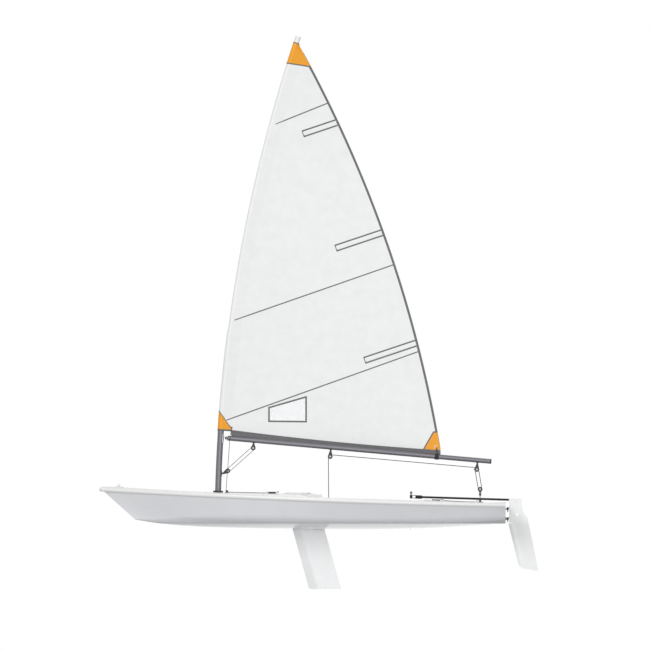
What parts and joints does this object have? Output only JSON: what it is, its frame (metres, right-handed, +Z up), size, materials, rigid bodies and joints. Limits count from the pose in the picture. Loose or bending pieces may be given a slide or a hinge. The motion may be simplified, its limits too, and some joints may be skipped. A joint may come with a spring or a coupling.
{
  "type": "sailing dinghy",
  "caption": "Single-handed sailing dinghy with unstayed bent mast, sleeved sail on a boom, lifting daggerboard and kick-up rudder with tiller and extension.",
  "frame": {"origin": "on the centreplane, amidships, at the level where the empty boat floats", "axes": "+X to the bow, +Y to port, +Z up"},
  "size_m": [4.573, 1.5387, 5.7635],
  "materials": {
    "hull_gelcoat": "polished pale grey gelcoat",
    "deck_gelcoat": "white gelcoat, non-slip in the tread areas",
    "black_nylon": "moulded black nylon",
    "stainless": "brushed stainless steel",
    "rope": "braided polyester line",
    "webbing": "woven polyester webbing",
    "spar_alloy": "satin grey anodised tube",
    "sailcloth": "white polyester sailcloth",
    "sail_tape": "dark grey polyester tape",
    "patch_cloth": "orange layered reinforcing cloth",
    "window_film": "clear sail window film",
    "foil_white": "white moulded foam skin",
    "rubber": "matt black rubber"
  },
  "bodies": {
    "hull": {"hull": "hull_gelcoat", "deck": "deck_gelcoat", "mast_ring": "black_nylon", "bow_eye": "stainless", "control_cleats": "black_nylon", "turning_blocks": "black_nylon", "traveller_fairleads": "black_nylon", "traveller_rope": "rope", "traveller_block": "black_nylon", "traveller_cleat": "black_nylon", "ratchet_block": "black_nylon", "hiking_strap": "webbing", "grab_rails": "black_nylon", "self_bailer": "stainless", "drain_bung": "black_nylon", "gudgeons": "stainless"},
    "rig": {"mast_lower": "spar_alloy", "mast_upper": "spar_alloy", "mast_collar": "black_nylon", "gooseneck": "stainless", "boom": "spar_alloy", "boom_plug": "black_nylon", "boom_cap": "black_nylon", "vang_upper_block": "black_nylon", "vang_lower_block": "black_nylon", "boom_mid_block": "black_nylon", "boom_end_block": "black_nylon", "clew_strap": "webbing", "sail": "sailcloth", "sail_foot_band": "sail_tape", "sail_corner_patches": "patch_cloth", "sail_batten_pockets": "sailcloth", "sail_window": "window_film"},
    "rudder": {"rudder_head": "foil_white", "rudder_bolt": "stainless", "pintles": "stainless", "tiller": "spar_alloy", "tiller_joint": "rubber"},
    "blade": {"rudder_blade": "foil_white"},
    "extension": {"tiller_extension": "spar_alloy", "extension_grip": "rubber"},
    "board": {"daggerboard": "foil_white", "daggerboard_stop": "black_nylon"}
  },
  "joints": [
    {"name": "rig_swing", "type": "hinge", "parent": "hull", "child": "rig", "pos_m": [0.878, 0, 0.33], "axis": [-0.0262, 0, 0.9997], "range_deg": [-90, 90]},
    {"name": "rudder_turn", "type": "hinge", "parent": "hull", "child": "rudder", "pos_m": [-2.137, 0, 0.143], "axis": [0, 0, 1], "range_deg": [-45, 45]},
    {"name": "rudder_blade_lift", "type": "hinge", "parent": "rudder", "child": "blade", "pos_m": [-2.235, 0, 0.095], "axis": [0, 1, 0], "range_deg": [0, 95]},
    {"name": "extension_swing", "type": "hinge", "parent": "rudder", "child": "extension", "pos_m": [-1.13153, 0, 0.2789], "axis": [0, 0, 1], "range_deg": [-45, 80]},
    {"name": "daggerboard_lift", "type": "slide", "parent": "hull", "child": "board", "axis": [0.2672, 0, 0.9636], "range_m": [0, 0.35]}
  ]
}
